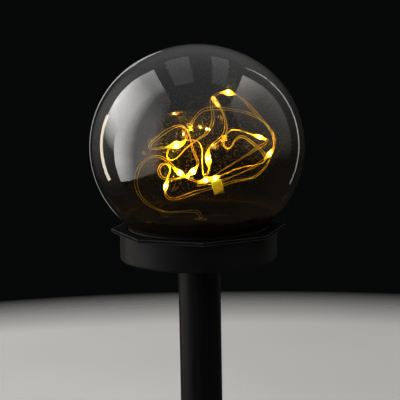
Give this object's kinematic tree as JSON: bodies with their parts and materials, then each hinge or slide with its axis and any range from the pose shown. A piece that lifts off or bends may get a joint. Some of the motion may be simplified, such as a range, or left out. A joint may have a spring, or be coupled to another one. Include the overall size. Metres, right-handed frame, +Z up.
{
  "type": "solar stake light",
  "caption": "Garden stake light: smoked globe with a glowing wire light string inside, twist-locked on a round black solar base, on a tube pole with a push-in ground spike.",
  "frame": {"origin": "on the axis at the ground line, where the pole's lower end meets the spike's shoulder", "axes": "+Z up along the pole, -Y towards the viewer of the picture, +X to that viewer's right"},
  "size_m": [0.1, 0.1, 0.3609],
  "materials": {
    "smoked_globe": "smoked clear plastic, polished",
    "seal_rubber": "soft matt",
    "base_black": "black moulded plastic, satin",
    "pole_black": "black extruded plastic, satin",
    "spike_black": "black moulded plastic, satin",
    "screw_steel": "bright zinc",
    "panel_backing": "black laminate",
    "solar_cell": "dark blue silicon",
    "panel_resin": "clear resin",
    "copper_wire": "lacquered copper",
    "led_resin": "clear resin over a warm light",
    "end_resin": "clear resin",
    "tape_yellow": "yellow film",
    "battery_wrap": "shrunk film",
    "contact_steel": "plated spring steel",
    "board_green": "solder mask",
    "chip_black": "moulded resin",
    "inductor_dark": "ferrite",
    "switch_shell": "folded tin plate",
    "switch_black": "moulded plastic",
    "lead_cover": "soft plastic"
  },
  "bodies": {
    "spike": {"ground_spike": "spike_black"},
    "pole": {"pole_tube": "pole_black"},
    "head": {"globe_seal": "seal_rubber", "base_plate": "base_black", "base_cup": "base_black", "base_screws": "screw_steel", "panel_board": "panel_backing", "solar_cells": "solar_cell", "panel_cover": "panel_resin", "string_grommet": "seal_rubber", "string_wire": "copper_wire", "led_beads": "led_resin", "string_end_seal": "end_resin", "tape_flag": "tape_yellow", "battery_cell": "battery_wrap", "battery_contacts": "contact_steel", "circuit_board": "board_green", "control_chip": "chip_black", "inductor": "inductor_dark", "board_screws": "screw_steel", "switch_body": "switch_shell", "panel_leads": "lead_cover", "battery_leads": "lead_cover", "string_lead": "copper_wire"},
    "globe": {"globe": "smoked_globe"},
    "knob": {"switch_knob": "switch_black"}
  },
  "joints": [
    {"name": "pole_lift", "type": "slide", "parent": "spike", "child": "pole", "axis": [0, 0, 1], "range_m": [0, 0.022]},
    {"name": "head_lift", "type": "slide", "parent": "pole", "child": "head", "axis": [0, 0, 1], "range_m": [0, 0.016]},
    {"name": "globe_twist", "type": "hinge", "parent": "head", "child": "globe", "pos_m": [0, 0, 0.1983], "axis": [0, 0, 1], "range_deg": [0, 25]},
    {"name": "switch_slide", "type": "slide", "parent": "head", "child": "knob", "axis": [1, 0, 0], "range_m": [0, 0.002]}
  ]
}
